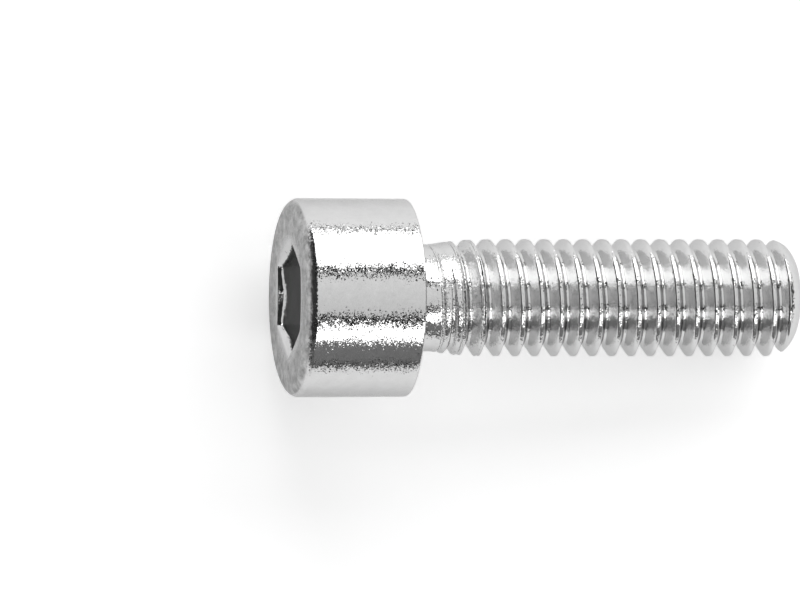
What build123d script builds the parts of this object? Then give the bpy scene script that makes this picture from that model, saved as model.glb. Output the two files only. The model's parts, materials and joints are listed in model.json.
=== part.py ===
from build123d import *
import os
from math import atan2, cos, degrees, floor, pi, radians, sin, tan

# Hexagon socket head cap screw, M6 x 20, cold-forged in one piece with a rolled thread.
#
# The screw is first made upright on the Z axis: the bearing face under the head is at Z = 0, the
# head goes down to its face at Z = -head_height and the shank goes up to the tip. It is then laid
# down as it comes to rest on a level surface, touching it with the rim of the head and with the
# last crest of the thread. The origin is under the middle of the lying screw, on that surface.

# Head, in millimetres.
head_diameter = 10.0
head_height = 6.0
face_edge_width = 0.6        # how far in from the side the rolled edge of the face starts
face_edge_height = 0.44      # how far down the side it ends
bearing_edge = 0.2           # 45 degree break of the rim round the bearing face
neck_flare = 0.35            # 45 degree flare from the neck to the bearing face
seam_turn = -0.55            # turn of the blank's seam from the underside, in degrees

# Hexagon socket for a 5 mm key.
socket_across_flats = 5.0
socket_depth = 3.1           # from the face to the end of the flats
socket_turn = 2.0            # turn of the hexagon's corners from the upright, in degrees
lead_in = 0.2                # width of the 45 degree lead-in round the mouth
floor_slope = 10.0           # slope of the conical socket floor, in degrees
punch_mark_diameter = 1.6
punch_mark_depth = 0.2
dish_diameter = 6.8          # shallow dish that the punch leaves round the mouth
dish_slope = 4.0

# Shank and thread.
shank_length = 20.0
neck_diameter = 5.4          # blank that the thread is rolled on
neck_length = 1.3            # plain blank from the bearing face
crest_rise_length = 2.5      # over which the first crests rise from the blank
crest_diameter = 5.9
root_diameter = 4.77
pitch = 1.0
flank_angle = 60.0           # between the two flanks of the groove
root_flat = 0.16
full_depth_start = 2.0       # nearest to the bearing face that the groove may have its full depth
runout_turns = 1.0           # over which it sinks in to that depth
thread_phase = 0.34          # height of the groove on the underside, within its pitch
tip_diameter = 4.5
tip_length = 1.0

cut_margin = 0.1             # how far each cutter reaches past the surface that it cuts

head_radius = head_diameter / 2
neck_radius = neck_diameter / 2
crest_radius = crest_diameter / 2
root_radius = root_diameter / 2
tip_radius = tip_diameter / 2
dish_radius = dish_diameter / 2
groove_depth = crest_radius - root_radius
groove_width = root_flat + 2 * groove_depth * tan(radians(flank_angle / 2))
crest_flat = pitch - groove_width
crest_start = neck_length + crest_rise_length
tip_start = shank_length - tip_length


def blank():
    """Head and shank turned about the axis, before the socket and the thread."""
    dish_centre = (0, dish_radius * tan(radians(dish_slope)) - head_height)
    dish_rim = (dish_radius, -head_height)
    face_edge = (head_radius - face_edge_width, -head_height)
    side_start = (head_radius, face_edge_height - head_height)
    side_end = (head_radius, -bearing_edge)
    bearing_outer = (head_radius - bearing_edge, 0)
    bearing_inner = (neck_radius + neck_flare, 0)
    neck_start = (neck_radius, neck_flare)
    neck_end = (neck_radius, neck_length)
    crest_low = (crest_radius, crest_start)
    crest_high = (crest_radius, tip_start)
    tip_edge = (tip_radius, shank_length)
    tip_centre = (0, shank_length)
    # The edges of the face and of the tip are two cones each, through the middle of an arc.
    face_edge_middle = TangentArc(face_edge, side_start, tangent=(1, 0)) @ 0.5
    tip_edge_middle = TangentArc(crest_high, tip_edge, tangent=(0, 1)) @ 0.5
    head_outline = Polyline(
        tip_centre,
        dish_centre,
        dish_rim,
        face_edge,
        face_edge_middle,
        side_start,
        side_end,
        bearing_outer,
        bearing_inner,
    )
    shank_outline = Polyline(
        bearing_inner,
        neck_start,
        neck_end,
        crest_low,
        crest_high,
        tip_edge_middle,
        tip_edge,
        tip_centre,
    )
    outline = make_face([head_outline, shank_outline])
    return Rot(0, 0, seam_turn) * revolve(Plane.XZ * outline, axis=Axis.Z)


def socket():
    """Hexagon space with its lead-in, conical floor and the mark of the punch's point."""
    corner_radius = socket_across_flats / 2 / cos(pi / 6)
    hexagon = RegularPolygon(corner_radius, 6, rotation=90 + socket_turn)
    mouth_level = Plane.XY.offset(-head_height)
    flats_end = Plane.XY.offset(socket_depth - head_height)
    flats = extrude(mouth_level.offset(-cut_margin) * hexagon, amount=socket_depth + cut_margin)
    # The lead-in flares at 45 degrees from the flats, and runs on past the face at that slope.
    dish_at_flats = (dish_radius - socket_across_flats / 2) * tan(radians(dish_slope))
    flare_reach = lead_in + dish_at_flats + cut_margin
    flare_base = mouth_level.offset(lead_in + dish_at_flats)
    flare_size = corner_radius + flare_reach / cos(pi / 6)
    flare_mouth = RegularPolygon(flare_size, 6, rotation=90 + socket_turn)
    flare = loft([flare_base * hexagon, mouth_level.offset(-cut_margin) * flare_mouth], ruled=True)
    # The floor is a cone that the flats' corners lie on, with a shallow round mark at its point.
    floor_depth = corner_radius * tan(radians(floor_slope))
    floor_cone = flats_end * Cone(
        corner_radius, 0, floor_depth, align=(Align.CENTER, Align.CENTER, Align.MIN)
    )
    floor_cone &= extrude(flats_end * hexagon, amount=floor_depth)
    mark_radius = punch_mark_diameter / 2
    mark_rim = floor_depth - mark_radius * tan(radians(floor_slope))
    mark = flats_end * Cylinder(
        mark_radius, mark_rim + punch_mark_depth, align=(Align.CENTER, Align.CENTER, Align.MIN)
    )
    return flats + flare + floor_cone + mark


def groove_section(radius):
    """Section of the thread groove, with its root at the given radius."""
    reach = groove_depth + cut_margin
    half_root = root_flat / 2
    half_mouth = half_root + reach * tan(radians(flank_angle / 2))
    corners = Polyline(
        (radius, -half_root),
        (radius, half_root),
        (radius + reach, half_mouth),
        (radius + reach, -half_mouth),
        close=True,
    )
    return Plane.XZ * make_face(corners)


def thread_groove():
    """Cutters of the helical groove: a run-out near the head, then whole turns to past the tip."""
    first_full = full_depth_start + (thread_phase - full_depth_start) % pitch
    turns = floor((shank_length - first_full) / pitch) + 2
    turn_path = Helix(pitch, pitch, root_radius)
    turn = sweep(groove_section(root_radius), path=turn_path, is_frenet=True)
    # The run-out is the same groove on a cone, from clear of the crests in to the full depth.
    # A helix on a cone counts its pitch along the slope.
    climb = groove_depth + cut_margin
    climb_angle = atan2(climb, runout_turns * pitch)
    runout_radius = root_radius + climb
    runout_path = Helix(
        pitch / cos(climb_angle),
        runout_turns * pitch,
        runout_radius,
        cone_angle=-degrees(climb_angle),
    )
    runout = sweep(groove_section(runout_radius), path=runout_path, is_frenet=True)
    runout_start = Pos(0, 0, first_full - runout_turns * pitch) * Rot(0, 0, -360 * runout_turns)
    return [runout_start * runout] + [Pos(0, 0, first_full + n * pitch) * turn for n in range(turns)]


def lay_down(screw):
    """Turn the upright screw on to its side, at the tilt at which head and thread both touch."""
    last_crest = thread_phase + (pitch + crest_flat) / 2
    last_crest += floor((tip_start - last_crest) / pitch) * pitch
    tilt = atan2(head_radius - crest_radius, last_crest + bearing_edge)
    lying = Rot(0, 90 + degrees(tilt), 0) * screw
    height = crest_radius * cos(tilt) + last_crest * sin(tilt)
    head_end = -head_height * cos(tilt) - (head_radius - face_edge_width) * sin(tilt)
    tip_end = shank_length * cos(tilt) + tip_radius * sin(tilt)
    return Pos(-(head_end + tip_end) / 2, 0, height) * lying


cap_screw = lay_down(blank() - socket() - thread_groove())
cap_screw.label = "cap_screw"

os.makedirs("parts", exist_ok=True)
export_step(cap_screw, "parts/cap_screw.step")
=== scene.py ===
"""Hexagon socket head cap screw, M6 x 20, lying on a pale studio floor."""

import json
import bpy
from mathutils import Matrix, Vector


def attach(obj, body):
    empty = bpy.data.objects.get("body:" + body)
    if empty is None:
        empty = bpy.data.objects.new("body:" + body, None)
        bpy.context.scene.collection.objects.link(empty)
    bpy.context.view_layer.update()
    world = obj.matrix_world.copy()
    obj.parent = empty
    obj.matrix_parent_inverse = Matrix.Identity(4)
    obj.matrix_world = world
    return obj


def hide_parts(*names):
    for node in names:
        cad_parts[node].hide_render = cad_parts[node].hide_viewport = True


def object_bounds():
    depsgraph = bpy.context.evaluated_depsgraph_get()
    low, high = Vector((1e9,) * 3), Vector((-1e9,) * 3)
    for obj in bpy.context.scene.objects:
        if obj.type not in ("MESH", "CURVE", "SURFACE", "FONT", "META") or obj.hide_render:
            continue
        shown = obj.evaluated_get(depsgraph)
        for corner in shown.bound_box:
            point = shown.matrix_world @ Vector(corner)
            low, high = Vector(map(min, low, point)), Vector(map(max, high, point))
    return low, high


bl_info = {
    "name": "Cap Screw",
    "version": (1, 0, 0),
    "blender": (4, 5, 0),
    "location": "View3D > Sidebar > Cap Screw",
    "description": "Makes a zinc plated socket head cap screw over its CAD frame, and its studio stage",
    "category": "Mesh",
}

from math import atan, cos, pi, radians, sin, tan

import bmesh
import bpy
import numpy as np
from bpy.props import FloatProperty, FloatVectorProperty, PointerProperty
from bpy.types import Operator, Panel, PropertyGroup
from mathutils import Matrix, Vector

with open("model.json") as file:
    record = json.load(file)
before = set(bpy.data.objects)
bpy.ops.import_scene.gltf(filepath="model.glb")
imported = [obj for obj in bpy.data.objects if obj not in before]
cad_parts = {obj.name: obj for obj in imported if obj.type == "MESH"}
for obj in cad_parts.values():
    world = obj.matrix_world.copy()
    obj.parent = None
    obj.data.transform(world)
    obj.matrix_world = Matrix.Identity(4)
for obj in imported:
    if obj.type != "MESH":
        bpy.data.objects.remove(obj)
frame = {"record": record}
CAD_BOX = [list(corner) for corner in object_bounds()]
MOUNTS = {mount["name"]: mount for mount in frame["record"]["mounts"]}
SOCKET_DIMS = MOUNTS["key_socket"]["dims"]
THREAD_DIMS = MOUNTS["thread"]["dims"]
MM = 0.001

# Vertices round the screw: a multiple of six, so that the socket's corners lie on them.
SEGMENTS = 192

# What parts of the screw add to the grain and the dullness of the head's smooth side.
FLANK_GRAIN = -0.2
CREST_GRAIN = 2.0
SEAM_GRAIN = 1.2
WALL_GRAIN = -0.85
FLANK_DULL = 0.6
WALL_DULL = 0.65

# Start and slope with which the face's dullness fades, over its rolled edge and into the socket; the painted
# shade on the face fades with it.
EDGE_FADE = (1.6, 1.6)
MOUTH_FADE = (1.0, 3.0)

# Opposite corners of the floor and of the room, in metres.
FLOOR_BOX = ((-6.0, -6.0, 0.0), (6.0, 6.0, 0.0))
ROOM_BOX = ((-1.2, -1.0, 0.0), (2.0, 1.0, 1.2))

# Where the cards, the panels and the cloths hang round the screw, in metres.
FACE_CARD_X = -0.5
FACE_CARD_ACROSS = (-0.45, 0.45)
FACE_CARD_RISE = (0.0, 1.15)
NEAR_CARD_ALONG = (-0.4, 1.2)
NEAR_CARD_RISE = (0.05, 0.3)
TOP_PANEL_Z = 0.8
TOP_PANEL_ALONG = (-0.37, 1.4)
TOP_PANEL_ACROSS = (-0.325, 0.41)
SIDE_PANEL_Y = 0.4
SIDE_PANEL_ALONG = (-0.15, 0.9)
FAR_PANEL_RISE = (0.041, 0.52)
NEAR_PANEL_RISE = (0.313, 0.605)
CLOTH_Y = 0.42
CLOTH_ALONG = (-0.4, 1.4)
FAR_GAP_RISE = (0.5, 0.85)
FAR_FOOT_RISE = (0.0, 0.07)
NEAR_GAP_RISE = (0.6, 1.1)


def length(name, description, default):
    """A size in metres, shown in the sidebar."""
    return FloatProperty(name=name, description=description, default=default, unit="LENGTH", precision=5)


def angle(name, description, degrees):
    """An angle, kept in radians."""
    return FloatProperty(name=name, description=description, default=radians(degrees), subtype="ANGLE")


def amount(name, description, default):
    """A plain number, zero or more."""
    return FloatProperty(name=name, description=description, default=default, min=0.0)


def colour(name, description, default):
    """A linear colour."""
    return FloatVectorProperty(
        name=name, description=description, default=default, size=3, subtype="COLOR", min=0.0, max=1.0
    )


class HeadSizes(PropertyGroup):
    """Sizes of the screw's head."""

    diameter: length("Diameter", "Widest part of the head", CAD_BOX[1][1] - CAD_BOX[0][1])
    taper: length("Taper", "How much narrower the side is at the bearing face", 0.05 * MM)
    height: length("Height", "From the bearing face to the face with the socket", 6.0 * MM)
    face_edge_width: length("Face edge width", "How far in from the side the rolled edge starts", 0.6 * MM)
    face_edge_height: length("Face edge height", "How far down the side the rolled edge ends", 0.44 * MM)
    bearing_edge: length("Bearing edge", "Break of the rim round the bearing face", 0.12 * MM)
    neck_flare: length("Neck flare", "Rounding between the bearing face and the neck", 0.3 * MM)


class SocketSizes(PropertyGroup):
    """Sizes of the hexagon socket."""

    across_flats: length("Across flats", "Width of the key", 2 * SOCKET_DIMS["r_mm"] * MM)
    depth: length("Depth", "From the face to the end of the flats", SOCKET_DIMS["length_mm"] * MM)
    turn: angle("Turn", "Turn of the corners from the upright", 2.0)
    lead_in: length("Lead-in", "Width of the bevel round the mouth", 0.15 * MM)
    lead_in_depth: length("Lead-in depth", "Depth of that bevel at the middle of a flat", 0.37 * MM)
    lead_in_corner: length("Lead-in corner", "Depth of that bevel at a corner", 0.17 * MM)
    floor_slope: angle("Floor slope", "Slope of the conical floor", 10.0)
    mark_diameter: length("Mark diameter", "Mark of the punch's point in the floor", 1.6 * MM)
    mark_depth: length("Mark depth", "Depth of that mark", 0.2 * MM)
    dish_diameter: length("Dish diameter", "Shallow dish round the mouth", 6.8 * MM)
    dish_slope: angle("Dish slope", "Slope of the dish", 4.0)


class ThreadSizes(PropertyGroup):
    """Sizes of the neck, the thread and the tip."""

    shank_length: length("Shank length", "From the bearing face to the tip", 20.0 * MM)
    neck_diameter: length("Neck diameter", "Blank that the thread is rolled on", 5.4 * MM)
    neck_length: length("Neck length", "Plain blank from the bearing face", 1.3 * MM)
    crest_rise_length: length("Crest rise", "Over which the first crests rise from the blank", 2.5 * MM)
    crest_diameter: length("Crest diameter", "Over the crests", 2 * THREAD_DIMS["r_mm"] * MM)
    root_diameter: length("Root diameter", "At the bottom of the groove", 4.77 * MM)
    pitch: length("Pitch", "From crest to crest", 1.0 * MM)
    flank_angle: angle("Flank angle", "Between the two flanks of the groove", 60.0)
    root_flat: length("Root flat", "Width of the groove's bottom", 0.16 * MM)
    full_depth_start: length("Full depth start", "Nearest to the bearing face with the full depth", 2.0 * MM)
    runout_turns: amount("Run-out turns", "Over which the groove sinks in to its full depth", 1.0)
    phase: length("Phase", "Height of the groove on the underside, within its pitch", 0.34 * MM)
    crest_lean: length("Crest lean", "How far the crests lean to the tip", 0.08 * MM)
    seam_depth: length("Seam depth", "Fold that rolling leaves along the first crests", 0.09 * MM)
    tip_diameter: length("Tip diameter", "Flat end of the shank", 4.0 * MM)
    tip_length: length("Tip length", "Over which the tip is rounded", 1.35 * MM)
    last_groove: length("Last groove", "How far from the tip the groove ends", 0.7 * MM)


class ZincFinish(PropertyGroup):
    """Bright zinc plating."""

    base: colour("Colour", "Colour of the plating", (0.64, 0.64, 0.64))
    roughness: amount("Roughness", "Of the smooth plating", 0.085)
    grain_size: length("Grain size", "Size of the plating's grain", 0.06 * MM)
    grain: amount("Grain", "How far the grain tips the surface", 0.085)
    speckle_size: length("Speckle size", "Size of the plating's small facets", 0.08 * MM)
    speckle: amount("Speckle", "How far the most tipped facets are tipped", 0.08)
    face_roughness: amount("Face roughness", "Of the duller plating on the pressed face", 0.30)
    chalk: amount("Chalk", "Share of the plating in the socket that scatters like chalk", 0.25)
    edge_tint: colour("Edge tint", "How much of the light is kept at the outline", (0.7, 0.7, 0.7))
    # The face's colour is painted darker by between 0.15 and this much: random clouds in the duller
    # plating's tone, and painted shade standing in for the face's darker reflection.
    clouds_and_painted_shade: amount("Clouds", "How much darker the duller plating is in places", 0.65)
    cloud_share: amount("Cloud share", "How much of that the smooth plating shows", 0.12)
    cloud_size: length("Cloud size", "Size of those places", 0.5 * MM)
    pit_spacing: length("Pit spacing", "Between the places where the plating may have a pit", 0.8 * MM)
    pit_radius: length("Pit radius", "Of the small dark pits", 0.04 * MM)
    pit_share: amount("Pit share", "Share of those places that has one", 0.35)
    wave_size: length("Wave size", "Size of the forged surface's unevenness", 0.9 * MM)
    wave: amount("Wave", "How far the unevenness tips the surface", 0.02)


class StudioSet(PropertyGroup):
    """Floor, cards, panels and camera."""

    floor: colour("Floor", "Colour of the floor", (0.85, 0.85, 0.85))
    floor_lift: amount("Floor lift", "How much of the floor's white doesn't depend on the panels", 0.40)
    room: colour("Room", "Colour of the room's walls", (0.55, 0.55, 0.55))
    card: colour("Card", "Colour of the dark card that the screw's face looks at", (0.05, 0.05, 0.05))
    near_card: colour("Near card", "Colour of the grey card on the near side", (0.27, 0.27, 0.27))
    gap: colour("Gap", "Colour of the dark cloth in the gaps between the panels", (0.01, 0.01, 0.01))
    top_panel_near: amount("Top panel near", "Brightness of the panel above, at its near edge", 0.80)
    top_panel_far: amount("Top panel far", "Brightness of the panel above, at its far edge", 1.06)
    side_panels: amount("Side panels", "Brightness of the panels beside", 2.9)
    field: length("Field", "Width that the camera sees at the screw", 40.14 * MM)
    lens: amount("Lens", "Focal length in millimetres", 800.0)
    view_lean: angle("View lean", "How far the camera leans to the head from square on the axis", 13.0)


class CapScrewSettings(PropertyGroup):
    """Everything that the sidebar shows."""

    head: PointerProperty(type=HeadSizes)
    socket: PointerProperty(type=SocketSizes)
    thread: PointerProperty(type=ThreadSizes)
    finish: PointerProperty(type=ZincFinish)
    studio: PointerProperty(type=StudioSet)


def smooth_min(a, b, blend):
    """The lesser of two lengths, rounded where they are within blend of each other."""
    return np.minimum(a, b) - np.maximum(blend - np.abs(a - b), 0) ** 2 / (4 * blend)


def smooth_max(a, b, blend):
    """The greater of two lengths, rounded in the same way."""
    return -smooth_min(-a, -b, blend)


def ring_angles(socket):
    """Angle of each vertex of a ring, measured from the underside."""
    return socket.turn + np.arange(SEGMENTS) * 2 * pi / SEGMENTS


def hexagon(angles, apothem, turn):
    """Radius at each angle of a hexagon whose corners are slightly rounded."""
    sharpness = 60
    flats = turn + np.arange(6) * pi / 3
    reach = np.maximum(np.cos(angles[:, None] - flats[None, :]), 0) / apothem
    return (reach**sharpness).sum(axis=1) ** (-1 / sharpness)


def softened(corners, steps=5):
    """Points along a profile of (radius, height, rounding) corners."""
    points = [corners[0][:2]]
    for before, here, after in zip(corners, corners[1:], corners[2:]):
        corner = Vector(here[:2])
        if here[2] == 0:
            points.append(tuple(corner))
            continue
        start = corner + (Vector(before[:2]) - corner).normalized() * here[2]
        end = corner + (Vector(after[:2]) - corner).normalized() * here[2]
        for step in range(steps + 1):
            s = step / steps
            point = start * (1 - s) ** 2 + corner * 2 * s * (1 - s) + end * s**2
            points.append(tuple(point))
    points.append(corners[-1][:2])
    return points


def socket_rings(head, socket):
    """Rings of the socket, from its floor out to the rim of the dish round its mouth."""
    angles = ring_angles(socket)
    apothem = socket.across_flats / 2
    face = -head.height
    corner_radius = apothem / cos(pi / 6)
    dish_radius = socket.dish_diameter / 2
    dish_rounding = 0.02 * MM
    floor_corner = 0.04 * MM
    # The mark's side is spread over this share of its radius.
    mark_side = 0.15
    # Rings of the floor are round up to this share of the apothem, and hexagons beyond it.
    round_share = 0.4
    # Shares of the way along each stretch, closer together where it bends.
    mark_shares = (0.04, 0.12, 0.2, 0.235, 0.25, 0.265, 0.28, 0.295, 0.31)
    floor_shares = (0.4, 0.5, 0.6, 0.7, 0.8, 0.9, 0.96)
    wall_shares = (0.97, 0.85, 0.7, 0.5, 0.3, 0.15, 0.04)
    bevel_shares = (0.06, 0.3, 0.7, 0.9, 1.0)
    dish_shares = (0.06, 0.2, 0.4, 0.6, 0.8, 1.0)
    rim_shares = (1.02, 1.05, 1.1)

    def floor_height(radius):
        cone = face + socket.depth + (corner_radius - radius) * tan(socket.floor_slope)
        mark_radius = socket.mark_diameter / 2
        sunk = np.clip((mark_radius - radius) / (mark_side * mark_radius) + 0.5, 0, 1)
        return cone + socket.mark_depth * sunk

    def dish_height(radius):
        drop = smooth_max((dish_radius - radius) * tan(socket.dish_slope), 0 * radius, dish_rounding)
        return face + drop

    flats = hexagon(angles, apothem, socket.turn)
    rings = []
    for share in mark_shares + floor_shares:
        radius = flats * share if share > round_share else np.full(SEGMENTS, apothem * share)
        rings.append((radius, floor_height(radius)))
    wall_end = floor_height(flats)
    rings.append((flats * 0.985, wall_end))
    rings.append((flats, wall_end - floor_corner))
    mouth = hexagon(angles, apothem + socket.lead_in, socket.turn)
    at_middle = 0.5 + 0.5 * np.cos(6 * (angles - socket.turn))
    bevel = socket.lead_in_corner + (socket.lead_in_depth - socket.lead_in_corner) * at_middle
    wall_start = dish_height(mouth) + bevel
    for share in wall_shares:
        rings.append((flats, wall_start + (wall_end - wall_start) * share))
    for share in bevel_shares:
        radius = flats + (mouth - flats) * share
        rings.append((radius, wall_start + (dish_height(mouth) - wall_start) * share))
    for share in dish_shares:
        radius = mouth + (dish_radius - mouth) * share
        rings.append((radius, dish_height(radius)))
    for share in rim_shares:
        radius = np.full(SEGMENTS, dish_radius * share)
        rings.append((radius, dish_height(radius)))
    return rings


def head_rings(head, socket, thread, neck_end):
    """Rings of the face's rim, the side, the bearing face and the neck."""
    radius = head.diameter / 2
    low_radius = radius - head.taper / 2
    neck = thread.neck_diameter / 2
    width = head.face_edge_width
    height = head.face_edge_height
    edge_radius = (width**2 + height**2) / (2 * height)
    sweep = 2 * atan(height / width)
    steps = 12
    edge_end_rounding = 0.03 * MM
    flat_ring_radius = socket.dish_diameter / 2 * 1.2
    edge = []
    for step in range(steps + 1):
        part = sweep * step / steps
        across = radius - width + edge_radius * sin(part)
        edge.append((across, -head.height + edge_radius * (1 - cos(part)), 0))
    edge[-1] = (radius, height - head.height, edge_end_rounding)
    corners = [(flat_ring_radius, -head.height, 0)] + edge
    corners.append((low_radius, 0, head.bearing_edge))
    corners.append((neck, 0, head.neck_flare))
    corners.append((neck, neck_end, 0))
    return [(np.full(SEGMENTS, r), np.full(SEGMENTS, z)) for r, z in softened(corners)]


def crest_radius_at(height, thread):
    """Radius of the blank's outline: neck, rising crests, full crests and rounded tip."""
    neck = thread.neck_diameter / 2
    crest = thread.crest_diameter / 2
    rise = np.clip((height - thread.neck_length) / thread.crest_rise_length, 0, 1)
    rising = neck + (crest - neck) * rise * (2 - rise)
    drop = (thread.crest_diameter - thread.tip_diameter) / 2
    tip_round = (drop**2 + thread.tip_length**2) / (2 * drop)
    past = np.clip(height - (thread.shank_length - thread.tip_length), 0, thread.tip_length)
    return rising - tip_round + np.sqrt(tip_round**2 - past**2)


def groove_section(half_root, half_mouth, pitch):
    """Offsets from a groove's middle to the next one's, closer together where the section bends."""
    near = [0.0, 0.5 * half_root, half_root, 1.5 * half_root]
    flank = [half_root + share * (half_mouth - half_root) for share in (0.25, 0.5, 0.75, 0.9)]
    crest = [half_mouth + share * (pitch / 2 - half_mouth) for share in (0.0, 0.25, 0.6)]
    half_row = near + flank + crest
    return np.array(half_row + [pitch / 2] + [pitch - offset for offset in reversed(half_row)])


def thread_strip(socket, thread, start):
    """Grid of vertices wound round the shank, one row of the groove's section for each angle."""
    root_rounding = 0.08 * MM
    crest_rounding = 0.03 * MM
    groove_end_length = 0.4 * MM
    # The groove rises past the blank as it runs out, so that it ends within the run-out's turns.
    overshoot = 1.2
    seam_width = 0.07 * MM
    seam_start_length = 1.2 * MM
    seam_end = 5.5 * MM
    seam_end_length = 3 * MM

    pitch = thread.pitch
    half_root = thread.root_flat / 2
    depth = (thread.crest_diameter - thread.root_diameter) / 2
    slope = 1 / tan(thread.flank_angle / 2)
    half_mouth = half_root + depth / slope
    row = groove_section(half_root, half_mouth, pitch)

    first_full = thread.full_depth_start + (thread.phase - thread.full_depth_start) % pitch
    step = 2 * pi / SEGMENTS
    turns_before = int((thread.phase - start) / pitch) + 3
    turns = int((thread.shank_length - start) / pitch) + turns_before + 3
    angles = socket.turn + (np.arange(turns * SEGMENTS + 1) - turns_before * SEGMENTS) * step
    middle = thread.phase + pitch * angles / (2 * pi)
    aside = np.minimum(row, pitch - row)[None, :]

    # The groove: it runs out towards the head, and dies out on the tip.
    groove_middle = middle[:, None] + np.where(row > pitch / 2, pitch, 0)[None, :]
    runout = thread.runout_turns * pitch
    climb = np.maximum(first_full - groove_middle, 0) / runout * depth * overshoot
    past_last = groove_middle - thread.shank_length + thread.last_groove
    at_tip = np.clip(past_last / groove_end_length, 0, 1)
    groove = thread.root_diameter / 2 + climb + at_tip * depth
    groove = groove + smooth_max(slope * (aside - half_root), 0 * aside, root_rounding)

    # The crests, with a fold along the first of them, and their lean to the tip.
    height = np.clip(middle[:, None] + row[None, :], start, thread.shank_length)
    seam_fade = np.clip((height - start) / seam_start_length, 0, 1)
    seam_fade = seam_fade * np.clip((seam_end - height) / seam_end_length, 0, 1)
    seam = thread.seam_depth * seam_fade * np.exp(-(((pitch / 2 - aside) / seam_width) ** 2))
    radius = smooth_min(crest_radius_at(height, thread) - seam, groove, crest_rounding)
    lean = thread.crest_lean * np.clip((radius - thread.root_diameter / 2) / depth, 0, 1)
    lean = lean * np.clip((height - start) / pitch, 0, 1)
    height = np.clip(height + lean, start, thread.shank_length)

    # How much each vertex is on a flank or on a crest, which the plating's look follows.
    flankness = np.clip((aside - half_root) / (0.5 * half_root), 0, 1)
    flankness = flankness * np.clip((half_mouth - aside) / (0.15 * half_mouth), 0, 1)
    flankness = flankness * (radius - groove > -0.06 * MM)
    crestness = np.clip((aside - half_mouth) / (0.3 * half_mouth), 0, 1)
    grain = 1 + FLANK_GRAIN * flankness + CREST_GRAIN * crestness + SEAM_GRAIN * seam_fade
    return angles, radius, height, grain, FLANK_DULL * flankness


def grid_faces(rows, columns, first):
    """Quads of a grid of vertices that starts at index first."""
    corner = first + np.arange(rows - 1)[:, None] * columns + np.arange(columns - 1)[None, :]
    quads = np.stack([corner, corner + 1, corner + columns + 1, corner + columns], axis=-1)
    return quads.reshape(-1, 4)


def join_grids(mesh):
    """Join the grids of a mesh where their edges meet, and turn all faces outwards."""
    work = bmesh.new()
    work.from_mesh(mesh)
    bmesh.ops.remove_doubles(work, verts=work.verts, dist=0.0002 * MM)
    bmesh.ops.recalc_face_normals(work, faces=work.faces)
    work.to_mesh(mesh)
    work.free()


def screw_mesh(head, socket, thread):
    """The whole screw as one closed mesh, upright, with its bearing face at Z = 0 and the head below."""
    plain_neck = 0.03 * MM
    neck_end = head.neck_flare + plain_neck
    inner_rings = socket_rings(head, socket)
    angles = ring_angles(socket)
    closed = np.append(angles, angles[0] + 2 * pi)
    points = []
    faces = []
    looks = {"grain": [], "dull": [], "chalk": []}

    def add_grid(angle, radius, height, grain, dull, chalk):
        first = sum(len(block) for block in points)
        block = np.stack([radius * np.cos(angle), radius * np.sin(angle), height], axis=-1)
        faces.append(grid_faces(*radius.shape, first))
        points.append(block.reshape(-1, 3))
        for name, share in (("grain", grain), ("dull", dull), ("chalk", chalk)):
            looks[name].append(np.broadcast_to(share, radius.shape).reshape(-1))

    def add_rings(rings, walls=0.0):
        radius = np.array([np.append(r, r[0]) for r, _ in rings])
        height = np.array([np.append(z, z[0]) for _, z in rings])
        inward = (height + head.height) / head.face_edge_height
        fade_start, fade_slope = MOUTH_FADE if walls else EDGE_FADE
        on_face = np.clip(fade_start - fade_slope * inward, 0, 1)
        in_walls = walls * np.clip(inward - 1, 0, 1)
        dull = on_face + WALL_DULL * in_walls
        grain = 1 + on_face + WALL_GRAIN * in_walls
        add_grid(np.broadcast_to(closed, radius.shape), radius, height, grain, dull, in_walls)

    floor_middle = (np.zeros(SEGMENTS), np.full(SEGMENTS, inner_rings[0][1][0]))
    add_rings([floor_middle] + inner_rings, walls=1.0)
    add_rings([inner_rings[-1]] + head_rings(head, socket, thread, neck_end))
    strip_angles, radius, height, grain, dull = thread_strip(socket, thread, neck_end)
    add_grid(np.broadcast_to(strip_angles[:, None], radius.shape), radius, height, grain, dull, 0.0)
    tip = thread.tip_diameter / 2
    tip_rings = []
    for share in (1.0, 0.985, 0.8, 0.5, 0.2, 0.0):
        tip_rings.append((np.full(SEGMENTS, tip * share), np.full(SEGMENTS, thread.shank_length)))
    add_rings(tip_rings)

    mesh = bpy.data.meshes.new("cap_screw_body")
    mesh.from_pydata(np.concatenate(points), [], np.concatenate(faces))
    for name, values in looks.items():
        attribute = mesh.attributes.new(name, "FLOAT", "POINT")
        attribute.data.foreach_set("value", np.concatenate(values).astype(np.float32))
    join_grids(mesh)
    mesh.shade_smooth()
    return mesh


def lying_place():
    """Where the frame holds the screw: bearing face and direction of the axis, from head to tip."""
    bearing = MOUNTS["bearing_face"]
    along = Vector(bearing["axis"]).normalized()
    side = Vector((0, 1, 0))
    under = side.cross(along)
    turn = Matrix((under, side, along)).transposed().to_4x4()
    return Matrix.Translation((bearing["pos_m"][0], 0, bearing["pos_m"][2])) @ turn


def add_node(tree, kind, links=None, **settings):
    """A node with its settings, and its inputs linked from sockets or set to values."""
    node = tree.nodes.new(kind)
    for name, value in settings.items():
        setattr(node, name, value)
    for name, value in (links or {}).items():
        if isinstance(value, bpy.types.NodeSocket):
            tree.links.new(value, node.inputs[name])
        else:
            node.inputs[name].default_value = value
    return node


def math_node(tree, operation, a, b):
    """Two numbers put together."""
    return add_node(tree, "ShaderNodeMath", {0: a, 1: b}, operation=operation).outputs[0]


def vector_node(tree, operation, a, b):
    """Two vectors put together."""
    return add_node(tree, "ShaderNodeVectorMath", {0: a, 1: b}, operation=operation).outputs[0]


def scaled(tree, vector, share):
    """A vector or a colour made longer or shorter."""
    links = {0: vector, "Scale": share}
    return add_node(tree, "ShaderNodeVectorMath", links, operation="SCALE").outputs[0]


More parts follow.
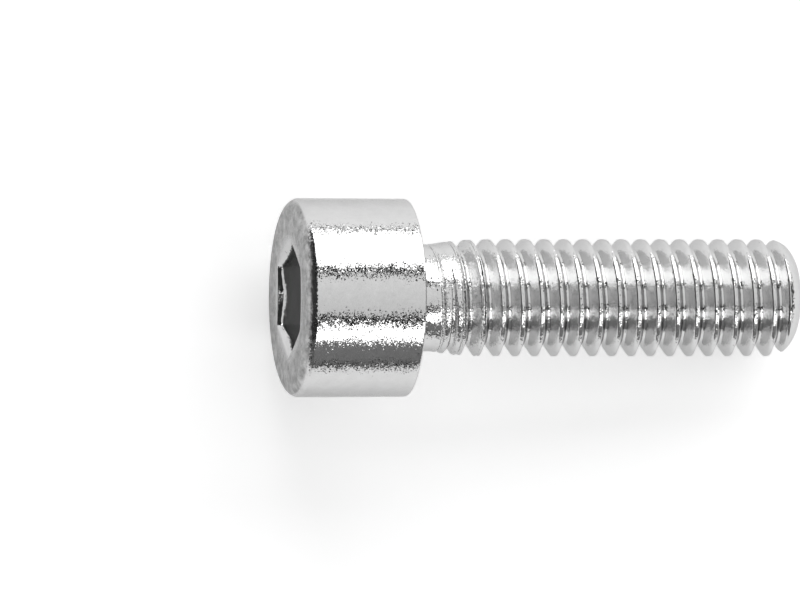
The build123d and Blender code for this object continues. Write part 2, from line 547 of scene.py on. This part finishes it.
def tipped(tree, normal, way, tip):
    """The normal tipped by some share of another vector."""
    total = vector_node(tree, "ADD", normal, scaled(tree, way, tip))
    return add_node(tree, "ShaderNodeVectorMath", {0: total}, operation="NORMALIZE").outputs[0]


def waved_normal(tree, place, normal, size, tip, detail):
    """The normal tipped at random over patches of the given size."""
    noise = add_node(
        tree,
        "ShaderNodeTexNoise",
        {"Vector": place, "Scale": 1 / size, "Detail": detail, "Roughness": 0.6},
        normalize=False,
    )
    return tipped(tree, normal, noise.outputs["Color"], tip)


def speckled_normal(tree, place, normal, size, tip):
    """The normal tipped cell by cell: a little in most cells of the given size, and far in a few."""
    cells = add_node(tree, "ShaderNodeTexVoronoi", {"Vector": place, "Scale": 1 / size})
    way = add_node(
        tree,
        "ShaderNodeVectorMath",
        {0: cells.outputs["Color"], 1: (2.0, 2.0, 2.0), 2: (-1.0, -1.0, -1.0)},
        operation="MULTIPLY_ADD",
    ).outputs[0]
    cubed = vector_node(tree, "MULTIPLY", vector_node(tree, "MULTIPLY", way, way), way)
    return tipped(tree, normal, cubed, tip)


def pit_mask(tree, place, finish):
    """How dark the plating is made by its sparse small pits."""
    cells = add_node(tree, "ShaderNodeTexVoronoi", {"Vector": place, "Scale": 1 / finish.pit_spacing})
    radius = finish.pit_radius / finish.pit_spacing
    near = add_node(
        tree,
        "ShaderNodeMapRange",
        {"Value": cells.outputs["Distance"], "From Min": radius, "From Max": 0.4 * radius, "To Max": 0.7},
    ).outputs[0]
    chance = add_node(tree, "ShaderNodeSeparateXYZ", {0: cells.outputs["Color"]}).outputs["X"]
    has_pit = math_node(tree, "LESS_THAN", chance, finish.pit_share)
    return math_node(tree, "MULTIPLY", near, has_pit)


def bare_material(name):
    """A new material with an empty node tree."""
    material = bpy.data.materials.new(name)
    material.use_nodes = True
    material.node_tree.nodes.clear()
    return material, material.node_tree


def zinc_material(finish):
    """Bright zinc plating: speckled, most of all on the crests, and duller on the face and the flanks, with
    painted shade darkening the face.
    """
    material, tree = bare_material("zinc_plating")
    place = add_node(tree, "ShaderNodeTexCoord").outputs["Object"]
    normal = add_node(tree, "ShaderNodeNewGeometry").outputs["Normal"]
    dull = add_node(tree, "ShaderNodeAttribute", attribute_name="dull").outputs["Fac"]
    grain_share = add_node(tree, "ShaderNodeAttribute", attribute_name="grain").outputs["Fac"]
    chalk = add_node(tree, "ShaderNodeAttribute", attribute_name="chalk").outputs["Fac"]

    grain = math_node(tree, "MULTIPLY", grain_share, finish.grain)
    speckle = math_node(tree, "MULTIPLY", grain_share, finish.speckle)
    waved = waved_normal(tree, place, normal, finish.wave_size, finish.wave, 2.0)
    speckled = speckled_normal(tree, place, waved, finish.speckle_size, speckle)
    grained = waved_normal(tree, place, speckled, finish.grain_size, grain, 1.0)

    roughness = add_node(
        tree,
        "ShaderNodeMapRange",
        {"Value": dull, "To Min": finish.roughness, "To Max": finish.face_roughness},
    ).outputs[0]
    metallic = add_node(
        tree, "ShaderNodeMapRange", {"Value": chalk, "To Min": 1.0, "To Max": 1 - finish.chalk}
    ).outputs[0]

    # Clouds of random tone, mixed with painted shade that darkens the face, show in full where the plating
    # is dullest, and elsewhere by the cloud share.
    clouds_and_painted_shade = add_node(
        tree,
        "ShaderNodeTexNoise",
        {"Vector": place, "Scale": 1 / finish.cloud_size, "Detail": 6.0, "Roughness": 0.7},
    ).outputs["Fac"]
    # Darkening from 0.15 up to the clouds' amount: painted shade on the face, varied at random by the
    # clouds.
    shade = add_node(
        tree,
        "ShaderNodeMapRange",
        {"Value": clouds_and_painted_shade, "From Min": 0.35, "From Max": 0.65, "To Min": finish.clouds_and_painted_shade, "To Max": 0.15},
    ).outputs[0]
    # The painted shade and the clouds show in full on the pressed face, and by the cloud share elsewhere.
    pressed = add_node(
        tree, "ShaderNodeMapRange", {"Value": dull, "From Min": 0.7, "To Min": finish.cloud_share}
    ).outputs[0]
    clouded_and_shaded = math_node(tree, "MULTIPLY", pressed, shade)
    lost = math_node(tree, "MAXIMUM", clouded_and_shaded, pit_mask(tree, place, finish))
    tint = scaled(tree, tuple(finish.base), math_node(tree, "SUBTRACT", 1.0, lost))
    metal = add_node(
        tree,
        "ShaderNodeBsdfPrincipled",
        {
            "Base Color": tint,
            "Metallic": metallic,
            "Roughness": roughness,
            "Normal": grained,
            "Specular Tint": (*finish.edge_tint, 1.0),
        },
    )
    add_node(tree, "ShaderNodeOutputMaterial", {"Surface": metal.outputs[0]})
    return material


def shown_white(tree, strength):
    """Strength for the rays that show a background: from the camera, in metal and through glass."""
    path = add_node(tree, "ShaderNodeLightPath")
    total = path.outputs["Is Camera Ray"]
    for name in ("Is Glossy Ray", "Is Transmission Ray"):
        total = math_node(tree, "MAXIMUM", total, path.outputs[name])
    return math_node(tree, "MULTIPLY", total, strength)


def matt_material(name, base, lift=0.0):
    """Plain matt paint or cloth, with a lift where it has to look white."""
    material, tree = bare_material(name)
    paint = add_node(
        tree,
        "ShaderNodeBsdfPrincipled",
        {"Base Color": (*base, 1.0), "Roughness": 1.0, "Specular IOR Level": 0.0},
    )
    if lift:
        paint.inputs["Emission Color"].default_value = (1.0, 1.0, 1.0, 1.0)
        tree.links.new(shown_white(tree, lift), paint.inputs["Emission Strength"])
    add_node(tree, "ShaderNodeOutputMaterial", {"Surface": paint.outputs[0]})
    return material


def glow_material(name, near, far, span):
    """A panel's glowing front, whose brightness runs from near to far over a span along Y."""
    material, tree = bare_material(name)
    geometry = add_node(tree, "ShaderNodeNewGeometry")
    across = add_node(tree, "ShaderNodeSeparateXYZ", {0: geometry.outputs["Position"]}).outputs["Y"]
    strength = add_node(
        tree,
        "ShaderNodeMapRange",
        {"Value": across, "From Min": span[0], "From Max": span[1], "To Min": near, "To Max": far},
    ).outputs[0]
    front = math_node(tree, "SUBTRACT", 1.0, geometry.outputs["Backfacing"])
    glow = add_node(tree, "ShaderNodeEmission", {"Strength": math_node(tree, "MULTIPLY", strength, front)})
    add_node(tree, "ShaderNodeOutputMaterial", {"Surface": glow.outputs[0]})
    return material


def square_corners(axis, place, first_span, second_span):
    """Corners of a rectangle square on an axis, over a span along each of the other two."""
    others = [k for k in range(3) if k != axis]
    corners = []
    for a, b in ((0, 0), (1, 0), (1, 1), (0, 1)):
        corner = Vector((0, 0, 0))
        corner[axis] = place
        corner[others[0]] = first_span[a]
        corner[others[1]] = second_span[b]
        corners.append(corner)
    return corners


def stage_piece(name, rectangles, material):
    """A piece of the stage made of rectangles."""
    points = [corner for corners in rectangles for corner in corners]
    faces = [range(first, first + 4) for first in range(0, len(points), 4)]
    mesh = bpy.data.meshes.new(name)
    mesh.from_pydata(points, [], [tuple(face) for face in faces])
    mesh.materials.append(material)
    piece = bpy.data.objects.new(name, mesh)
    bpy.context.scene.collection.objects.link(piece)
    return piece


def stage_box(name, box, material, sides):
    """Some of the sides of a box, given as (axis, end) pairs."""
    spans = list(zip(*box))
    rectangles = []
    for axis, end in sides:
        first_span, second_span = [spans[k] for k in range(3) if k != axis]
        rectangles.append(square_corners(axis, spans[axis][end], first_span, second_span))
    return stage_piece(name, rectangles, material)


def panel(name, axis, place, first_span, second_span, material):
    """A flat panel square on an axis, facing the screw, which the camera doesn't see."""
    corners = square_corners(axis, place, first_span, second_span)
    front = (corners[1] - corners[0]).cross(corners[2] - corners[0])
    if front.dot(corners[0] + corners[2]) > 0:
        corners.reverse()
    piece = stage_piece(name, [corners], material)
    piece.visible_camera = False


def white_world():
    """A white surround for the rays that show a background."""
    world = bpy.data.worlds.new("white_surround")
    world.use_nodes = True
    tree = world.node_tree
    tree.nodes.clear()
    links = {"Color": (1.0, 1.0, 1.0, 1.0), "Strength": shown_white(tree, 1.0)}
    glow = add_node(tree, "ShaderNodeBackground", links)
    add_node(tree, "ShaderNodeOutputWorld", {"Surface": glow.outputs[0]})
    return world


def long_lens_camera(studio):
    """A camera that looks down on the screw and leans to its head."""
    place = lying_place()
    along = place.to_3x3() @ Vector((0, 0, 1))
    side = Vector((0, 1, 0))
    up = along.cross(side)
    out = up * cos(studio.view_lean) - along * sin(studio.view_lean)
    # The view's middle lies just to the head's side of the bearing face, and to the near side.
    target = place @ Vector((0, -0.115 * MM, -0.25 * MM))
    data = bpy.data.cameras.new("camera")
    data.lens = studio.lens
    data.sensor_width = 36.0
    data.clip_start = 0.05
    data.clip_end = 50
    distance = studio.lens / data.sensor_width * studio.field
    turn = Matrix((side.cross(out), side, out)).transposed().to_4x4()
    camera = bpy.data.objects.new("camera", data)
    camera.matrix_world = Matrix.Translation(target + out * distance) @ turn
    return camera


class CAPSCREW_OT_screw(Operator):
    """Make the screw over its CAD node"""

    bl_idname = "capscrew.screw"
    bl_label = "Make Screw"

    def execute(self, context):
        settings = context.scene.cap_screw
        mesh = screw_mesh(settings.head, settings.socket, settings.thread)
        mesh.transform(lying_place())
        mesh.materials.append(zinc_material(settings.finish))
        screw = bpy.data.objects.new("cap_screw_body", mesh)
        context.scene.collection.objects.link(screw)
        weighting = screw.modifiers.new("flat_faces", "WEIGHTED_NORMAL")
        weighting.keep_sharp = True
        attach(screw, "root")
        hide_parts("cap_screw")
        return {"FINISHED"}


class CAPSCREW_OT_stage(Operator):
    """Lay the floor, hang the cards and panels, and set up the camera"""

    bl_idname = "capscrew.stage"
    bl_label = "Set Stage"

    def execute(self, context):
        studio = context.scene.cap_screw.studio
        white = matt_material("floor_paint", studio.floor, studio.floor_lift)
        stage_box("floor", FLOOR_BOX, white, [(2, 0)])
        walls = [(0, 0), (0, 1), (1, 0), (1, 1), (2, 1)]
        room = stage_box("room", ROOM_BOX, matt_material("wall_paint", studio.room), walls)
        room.visible_camera = False

        dark = matt_material("dark_card", studio.card)
        panel("face_card", 0, FACE_CARD_X, FACE_CARD_ACROSS, FACE_CARD_RISE, dark)
        grey = matt_material("near_card", studio.near_card)
        panel("near_card", 1, -CLOTH_Y, NEAR_CARD_ALONG, NEAR_CARD_RISE, grey)
        top = glow_material("top_glow", studio.top_panel_near, studio.top_panel_far, TOP_PANEL_ACROSS)
        panel("top_panel", 2, TOP_PANEL_Z, TOP_PANEL_ALONG, TOP_PANEL_ACROSS, top)
        side = glow_material("side_glow", studio.side_panels, studio.side_panels, (-1.0, 1.0))
        panel("far_panel", 1, SIDE_PANEL_Y, SIDE_PANEL_ALONG, FAR_PANEL_RISE, side)
        panel("near_panel", 1, -SIDE_PANEL_Y, SIDE_PANEL_ALONG, NEAR_PANEL_RISE, side)
        cloth = matt_material("dark_cloth", studio.gap)
        panel("far_gap", 1, CLOTH_Y, CLOTH_ALONG, FAR_GAP_RISE, cloth)
        panel("far_foot", 1, CLOTH_Y, CLOTH_ALONG, FAR_FOOT_RISE, cloth)
        panel("near_gap", 1, -CLOTH_Y, CLOTH_ALONG, NEAR_GAP_RISE, cloth)

        context.scene.world = white_world()
        context.scene.view_settings.view_transform = "Standard"
        camera = long_lens_camera(studio)
        context.scene.collection.objects.link(camera)
        context.scene.camera = camera
        return {"FINISHED"}


class CAPSCREW_PT_sidebar(Panel):
    """Sizes, finish and stage of the screw"""

    bl_label = "Cap Screw"
    bl_space_type = "VIEW_3D"
    bl_region_type = "UI"
    bl_category = "Cap Screw"

    def draw(self, context):
        settings = context.scene.cap_screw
        for name in ("head", "socket", "thread", "finish", "studio"):
            box = self.layout.box()
            box.label(text=name.title())
            group = getattr(settings, name)
            for key in group.__annotations__:
                box.prop(group, key)
        self.layout.operator(CAPSCREW_OT_screw.bl_idname)
        self.layout.operator(CAPSCREW_OT_stage.bl_idname)


CLASSES = (
    HeadSizes,
    SocketSizes,
    ThreadSizes,
    ZincFinish,
    StudioSet,
    CapScrewSettings,
    CAPSCREW_OT_screw,
    CAPSCREW_OT_stage,
    CAPSCREW_PT_sidebar,
)


def register():
    """Add the classes and the screw's settings to Blender."""
    for cls in CLASSES:
        bpy.utils.register_class(cls)
    bpy.types.Scene.cap_screw = PointerProperty(type=CapScrewSettings)


def unregister():
    """Take them out again."""
    del bpy.types.Scene.cap_screw
    for cls in reversed(CLASSES):
        bpy.utils.unregister_class(cls)


def main():
    """Make the screw and its stage."""
    register()
    bpy.ops.capscrew.screw()
    bpy.ops.capscrew.stage()


if __name__ == "__main__":
    main()
